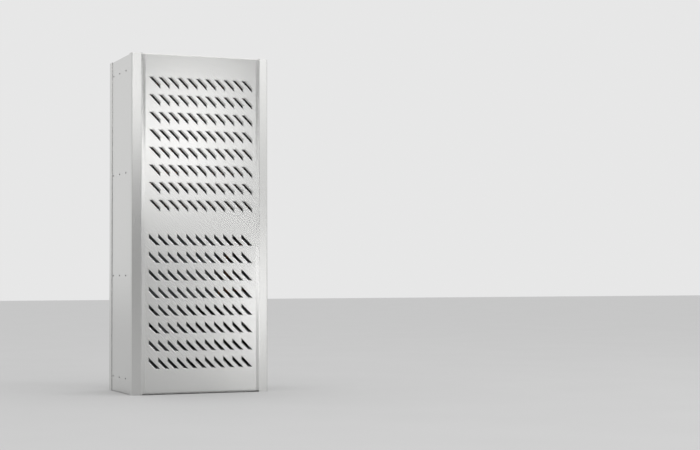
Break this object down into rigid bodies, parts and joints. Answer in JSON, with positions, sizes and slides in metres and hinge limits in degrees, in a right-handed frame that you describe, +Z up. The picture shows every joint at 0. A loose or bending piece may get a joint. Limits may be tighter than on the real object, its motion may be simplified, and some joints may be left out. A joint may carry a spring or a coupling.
{
  "type": "enclosure cooling unit",
  "caption": "Wall-mounted stainless cooling unit for an electrical enclosure, with slanted louvres on a bevelled front cover and a refrigeration circuit and fans inside.",
  "frame": {"origin": "centre of the bottom of the whole unit", "axes": "+X to the right seen from the front, +Y from the louvred front to the wall, +Z up"},
  "size_m": [0.4, 0.26, 0.95],
  "materials": {
    "stainless": "fine satin-ground stainless steel sheet",
    "bright_fasteners": "bright zinc-plated steel",
    "rivet_steel": "dark steel blind rivets",
    "galvanised": "dull zinc-coated sheet",
    "aluminium_fins": "bare aluminium fins",
    "copper": "bare copper tube",
    "brass": "machined brass",
    "black_painted_metal": "semi-gloss black enamel",
    "black_plastic": "glass-filled black plastic",
    "grey_plastic": "vacuum-formed grey plastic",
    "black_rubber": "soft black rubber",
    "black_foam": "closed-cell black foam",
    "green_board": "glass-fibre circuit board with parts",
    "orange_plastic": "orange plug-in terminal block"
  },
  "bodies": {
    "housing": {"front_cover": "stainless", "cover_screws": "bright_fasteners", "cover_nuts": "bright_fasteners", "side_panel_left": "stainless", "side_panel_right": "stainless", "top_plate": "stainless", "base_plate": "stainless", "rear_frame": "stainless", "wall_gasket": "black_foam", "fixing_nuts": "bright_fasteners", "side_rivets": "rivet_steel", "outdoor_rails": "galvanised", "indoor_brackets": "galvanised", "partition": "galvanised", "fan_shroud": "galvanised", "baffle_seal": "black_foam", "condenser_fins": "aluminium_fins", "condenser_end_plates": "galvanised", "condenser_tubes": "copper", "evaporator_fins": "aluminium_fins", "evaporator_end_plates": "galvanised", "evaporator_tubes": "copper", "evaporator_baffle": "galvanised", "condensate_tray": "grey_plastic", "drain_hose": "black_rubber", "drain_nozzle": "black_plastic", "outdoor_fan_motor": "black_painted_metal", "enclosure_fan_motor": "black_painted_metal", "fan_motor_screws": "bright_fasteners", "inlet_ring": "galvanised", "intake_guard": "black_painted_metal", "compressor": "black_painted_metal", "terminal_cover": "black_plastic", "accumulator": "black_painted_metal", "accumulator_bracket": "galvanised", "compressor_grommets": "black_rubber", "compressor_studs": "bright_fasteners", "discharge_line": "copper", "liquid_line": "copper", "suction_line": "copper", "filter_drier": "copper", "expansion_valve": "brass", "pipe_grommets": "black_rubber", "control_box": "galvanised", "control_box_lid": "galvanised", "control_board": "green_board", "terminal_block": "orange_plastic"},
    "outdoor_fan": {"outdoor_impeller": "black_plastic"},
    "enclosure_fan": {"enclosure_impeller": "black_plastic"}
  },
  "joints": [
    {"name": "outdoor_fan_spin", "type": "hinge", "parent": "housing", "child": "outdoor_fan", "pos_m": [0, -0.025, 0.6964], "axis": [0, -1, 0], "continuous": true},
    {"name": "enclosure_fan_spin", "type": "hinge", "parent": "housing", "child": "enclosure_fan", "pos_m": [0, 0.0935, 0.815], "axis": [0, 1, 0], "continuous": true}
  ]
}
